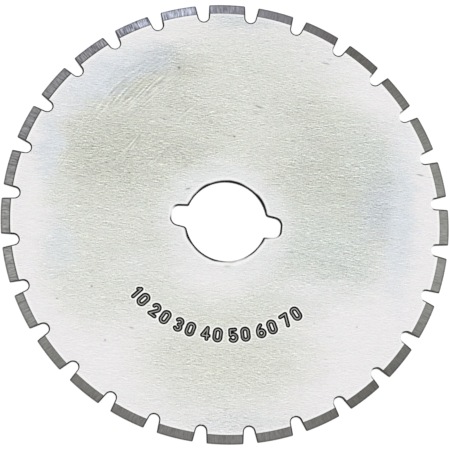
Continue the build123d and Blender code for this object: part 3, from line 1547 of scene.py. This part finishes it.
@dataclass
class Blade:
    """The whole blade: its skin and its three finishes."""

    node: str = "blade"
    slot: str = "blade_steel"
    hole_radius: float = 7.2
    hole_rings: tuple[float, ...] = (0.5, 1.0)
    inner_rings: tuple[float, ...] = (7.2, 8.7, 10.2)
    outer_rings: tuple[float, ...] = (12.9, 15.0, 17.5, 19.5)
    stamp_periods: tuple[int, int] = (17, 25)
    stamp_split: int = 6
    section: Section = field(init=False)

    def __post_init__(self) -> None:
        """Reads the blade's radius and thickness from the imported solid."""
        points = np.array([v.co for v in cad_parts[self.node].data.vertices]) / MM
        rim_radius = float(np.hypot(points[:, 0], points[:, 1]).max())
        self.section = Section(rim_radius, float(points[:, 2].max()))

    def build(self) -> bpy.types.Object:
        """Builds and dresses the blade.

        Returns:
            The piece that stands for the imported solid.
        """
        skin = Skin()
        notches = NotchRow(self.section)
        steps = notches.count * notches.tooth_steps
        angles = np.arange(steps + 1) * (2 * math.pi / steps)
        notches.add_to(skin)
        hole_circle = polar(self.hole_radius, angles[:-1])
        ArborHole(self.section).add_to(skin, hole_circle, self.hole_rings)
        rings = (*self.inner_rings, *self.outer_rings, notches.base_radius)
        self._add_disc(skin, np.array(rings), angles)
        self._add_stamp(skin, StampedNumbers(self.section.thickness), angles)
        creases = (self.section.face_radius, self.section.hone_radius)
        mesh = skin.to_mesh("perforating_blade", creases)
        piece = bpy.data.objects.new("perforating_blade", mesh)
        bpy.context.scene.collection.objects.link(piece)
        self._dress(piece)
        return piece

    def _add_disc(self, skin: Skin, rings: Array, angles: Array) -> None:
        """Adds both flat faces, but for the stretch of the upper one that is stamped.

        Args:
            skin: The skin to add to.
            rings: Radii of the faces' rows.
            angles: The places of their columns in radians.
        """
        disc = polar(rings[:, None], angles)
        skin.grid(raised(disc, 0.0), Surface.FACE, flip=True)
        upper = raised(disc, self.section.thickness)
        gap = len(self.inner_rings) - 1
        skin.grid(upper[: gap + 1], Surface.FACE)
        skin.grid(upper[gap + 1 :], Surface.FACE)
        first, last = self._stamp_columns()
        skin.grid(upper[gap : gap + 2, :first], Surface.FACE)
        skin.grid(upper[gap : gap + 2, last + 1 :], Surface.FACE)

    def _stamp_columns(self) -> tuple[int, int]:
        """The first and last column of the disc that bound the stamped stretch."""
        return tuple(period * NotchRow.tooth_steps for period in self.stamp_periods)

    def _add_stamp(self, skin: Skin, numbers: StampedNumbers, angles: Array) -> None:
        """Adds the stamped stretch as a fine grid, joined by fans to the coarse disc.

        Args:
            skin: The skin to add to.
            numbers: The numbers stamped into it.
            angles: The places of the disc's columns in radians.
        """
        top = self.section.thickness
        first, last = self._stamp_columns()
        cells = last - first
        radii = np.linspace(numbers.inner_radius, numbers.outer_radius, numbers.rows + 1)
        fine_angles = np.linspace(angles[first], angles[last], cells * self.stamp_split + 1)
        flat = polar(radii[:, None], fine_angles)
        distance = numbers.distance(flat)
        skin.grid(raised(flat, numbers.top(distance)), Surface.FACE, stroke_distance=distance)

        picks = np.arange(cells)[:, None] * self.stamp_split + np.arange(self.stamp_split + 1)
        pairs = np.arange(first, last)[:, None] + np.arange(2)
        near, far = self.inner_rings[-1], self.outer_rings[0]
        for coarse_radius, fine_radius, flip in ((near, radii[0], False), (far, radii[-1], True)):
            coarse = raised(polar(coarse_radius, angles[pairs]), top)
            fine = raised(polar(fine_radius, fine_angles[picks]), top)
            skin.fans(coarse, fine, Surface.FACE, flip)
        ladder = np.concatenate([[near], radii, [far]])
        for beside, at, flip in ((first - 1, first, True), (last + 1, last, False)):
            coarse = raised(polar(np.array([near, far]), angles[beside]), top)
            fine = raised(polar(ladder, angles[at]), top)
            skin.fans(coarse, fine, Surface.FACE, flip)

    def _dress(self, piece: bpy.types.Object) -> None:
        """Gives the blade its finishes and its place on the frame.

        Args:
            piece: The blade.
        """
        materials = {
            Surface.FACE: FaceFinish(self.section.face_radius).material(),
            Surface.BEVEL: BevelFinish(self.section).material(),
            Surface.WALL: WallFinish(self.section.thickness).material(),
        }
        for surface in Surface:
            piece.data.materials.append(materials[surface])
        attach(piece, "root")
        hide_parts(self.node)


# --- the studio -----------------------------------------------------------------------------


@dataclass(frozen=True)
class Studio:
    """A white table under soft light, and the camera above it."""

    floor_half_size: float = 900.0
    floor_drop: float = 0.02
    floor_glow: float = 0.86
    floor_white: float = 0.26
    floor_paint: Tone = (0.8, 0.8, 0.8)
    sky: Tone = (0.81, 0.81, 0.81)
    lamp_place: tuple[float, float, float] = (74.0, 213.0, 900.0)
    lamp_size: float = 1000.0
    lamp_power: float = 0.7
    aim: tuple[float, float, float] = (-0.067, -0.343, 0.15)
    azimuth: float = -17.66
    elevation: float = 76.07
    roll: float = 25.02
    distance: float = 345.13
    lens: float = 276.46

    def build(self) -> None:
        """Makes the floor, the lights and the camera."""
        self._add_floor()
        self._light_world()
        self._add_lamp()
        self._add_camera()

    def _add_floor(self) -> None:
        """Adds a white floor just under the blade, which keeps the blade's faint shadow."""
        h = self.floor_half_size * MM
        z = -self.floor_drop * MM
        mesh = bpy.data.meshes.new("floor")
        mesh.from_pydata([(-h, -h, z), (h, -h, z), (h, h, z), (-h, h, z)], [], [(0, 1, 2, 3)])
        floor = bpy.data.objects.new("floor", mesh)
        bpy.context.scene.collection.objects.link(floor)
        paint = Paint(bpy.data.materials.new("white_table"))
        plain, soft = (
            paint.node("ShaderNodeBsdfDiffuse", None, {"Color": colour}).outputs[0]
            for colour in (self.floor_paint, (self.floor_white,) * 3)
        )
        light = {"Color": PURE_WHITE, "Strength": self.floor_glow}
        glow = paint.node("ShaderNodeEmission", None, light).outputs[0]
        shown = paint.node("ShaderNodeAddShader", None, {0: soft, 1: glow}).outputs[0]
        both = paint.node("ShaderNodeMixShader", None, {0: paint.seen(), 1: plain, 2: shown})
        paint.end(both.outputs[0])
        mesh.materials.append(paint.owner)

    def _light_world(self) -> None:
        """Lights the scene evenly from all round, in a room that is seen as white."""
        world = bpy.data.worlds.new("soft_room")
        paint = Paint(world)
        sky, white = (
            paint.node("ShaderNodeBackground", None, {"Color": colour}).outputs[0]
            for colour in (self.sky, PURE_WHITE)
        )
        both = paint.node("ShaderNodeMixShader", None, {0: paint.seen(), 1: sky, 2: white})
        paint.end(both.outputs[0])
        bpy.context.scene.world = world

    def _add_lamp(self) -> None:
        """Adds one large soft lamp overhead. The metal mirrors the white room, and not it."""
        lamp = bpy.data.lights.new("soft_lamp", "AREA")
        lamp.size = self.lamp_size * MM
        lamp.energy = self.lamp_power
        holder = bpy.data.objects.new("soft_lamp", lamp)
        place = Vector(self.lamp_place) * MM
        holder.location = place
        holder.visible_glossy = False
        holder.rotation_euler = (-place).to_track_quat("-Z", "Y").to_euler()
        bpy.context.scene.collection.objects.link(holder)

    def _add_camera(self) -> None:
        """Adds the camera: it looks at the aim from an azimuth and elevation, then rolls."""
        around, up = math.radians(self.azimuth), math.radians(self.elevation)
        flat = math.cos(up)
        back = Vector((math.sin(around) * flat, -math.cos(around) * flat, math.sin(up)))
        level = (-back).cross(Vector((0.0, 0.0, 1.0))).normalized()
        right = Matrix.Rotation(math.radians(self.roll), 3, back) @ level
        turn = Matrix((right, back.cross(right), back)).transposed()
        data = bpy.data.cameras.new("camera")
        data.lens = self.lens
        data.sensor_width = 36.0
        data.clip_start, data.clip_end = 0.01, 10.0
        camera = bpy.data.objects.new("camera", data)
        place = (Vector(self.aim) + back * self.distance) * MM
        camera.matrix_world = Matrix.Translation(place) @ turn.to_4x4()
        bpy.context.scene.collection.objects.link(camera)
        bpy.context.scene.camera = camera


def main() -> None:
    """Builds the blade and its studio."""
    logging.basicConfig(level=logging.INFO, format="%(name)s: %(message)s")
    bpy.context.scene.view_settings.view_transform = "Standard"
    blade = Blade().build()
    log.info("%s: %d points", blade.name, len(blade.data.vertices))
    Studio().build()
    log.info("studio: floor, lamp and camera")


if __name__ == "__main__":
    main()
